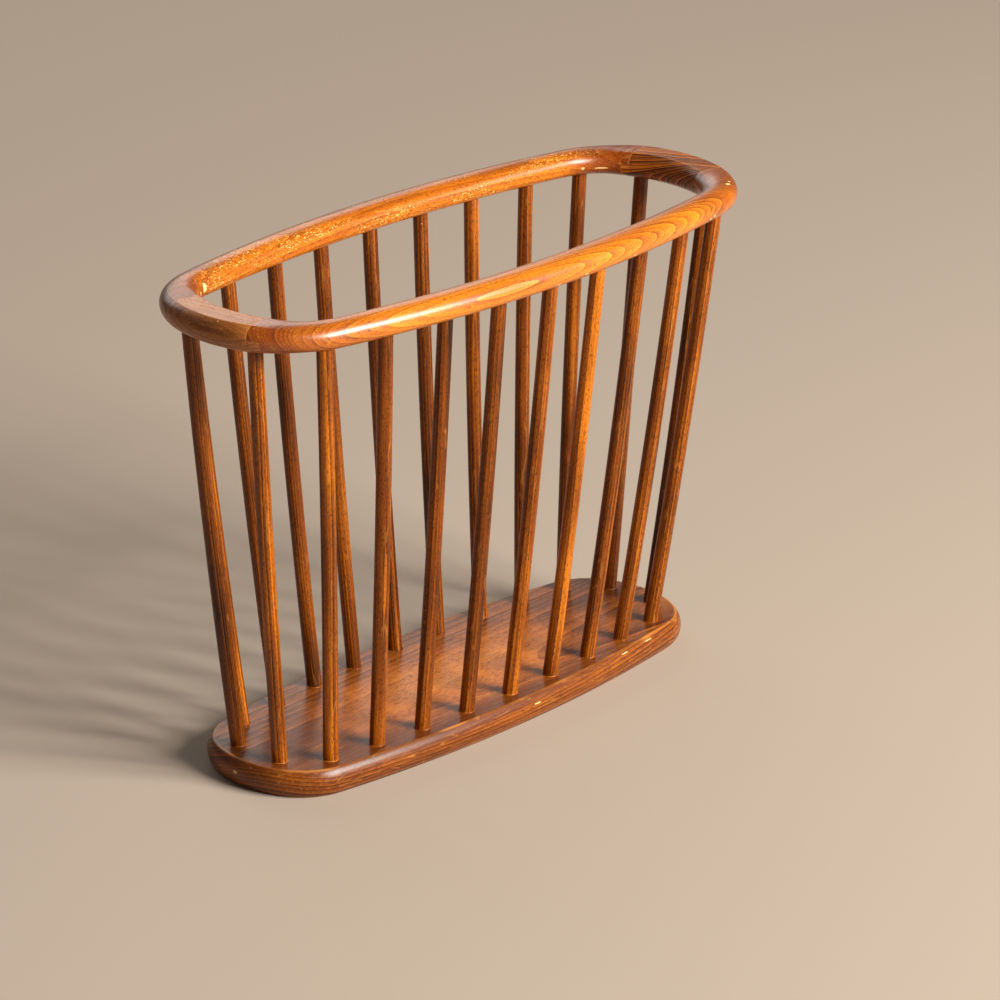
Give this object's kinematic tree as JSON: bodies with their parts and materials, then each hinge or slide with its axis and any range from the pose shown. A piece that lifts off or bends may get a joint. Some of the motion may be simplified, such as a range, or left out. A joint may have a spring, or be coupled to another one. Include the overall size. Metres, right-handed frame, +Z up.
{
  "type": "magazine rack",
  "caption": "Free-standing oval magazine rack: a solid wood board, outward-leaning dowel spindles glued into blind holes, and an open oval top rail of lapped segments.",
  "frame": {"origin": "middle of the board's underside, on the surface that the rack stands on", "axes": "+X along the rack's length, +Y across it from front to back, +Z up"},
  "size_m": [0.52, 0.202, 0.3605],
  "materials": {
    "board_wood": "gloss varnish",
    "rail_side_wood": "gloss varnish",
    "rail_end_wood": "gloss varnish",
    "spindle_wood": "gloss varnish"
  },
  "bodies": {
    "root": {"board": "board_wood", "rail_front": "rail_side_wood", "rail_back": "rail_side_wood", "rail_left": "rail_end_wood", "rail_right": "rail_end_wood", "spindle_front_1": "spindle_wood", "spindle_front_2": "spindle_wood", "spindle_front_3": "spindle_wood", "spindle_front_4": "spindle_wood", "spindle_front_5": "spindle_wood", "spindle_front_6": "spindle_wood", "spindle_front_7": "spindle_wood", "spindle_front_8": "spindle_wood", "spindle_front_9": "spindle_wood", "spindle_back_1": "spindle_wood", "spindle_back_2": "spindle_wood", "spindle_back_3": "spindle_wood", "spindle_back_4": "spindle_wood", "spindle_back_5": "spindle_wood", "spindle_back_6": "spindle_wood", "spindle_back_7": "spindle_wood", "spindle_back_8": "spindle_wood", "spindle_back_9": "spindle_wood", "spindle_left_front": "spindle_wood", "spindle_left_back": "spindle_wood", "spindle_right_front": "spindle_wood", "spindle_right_back": "spindle_wood"}
  },
  "joints": []
}
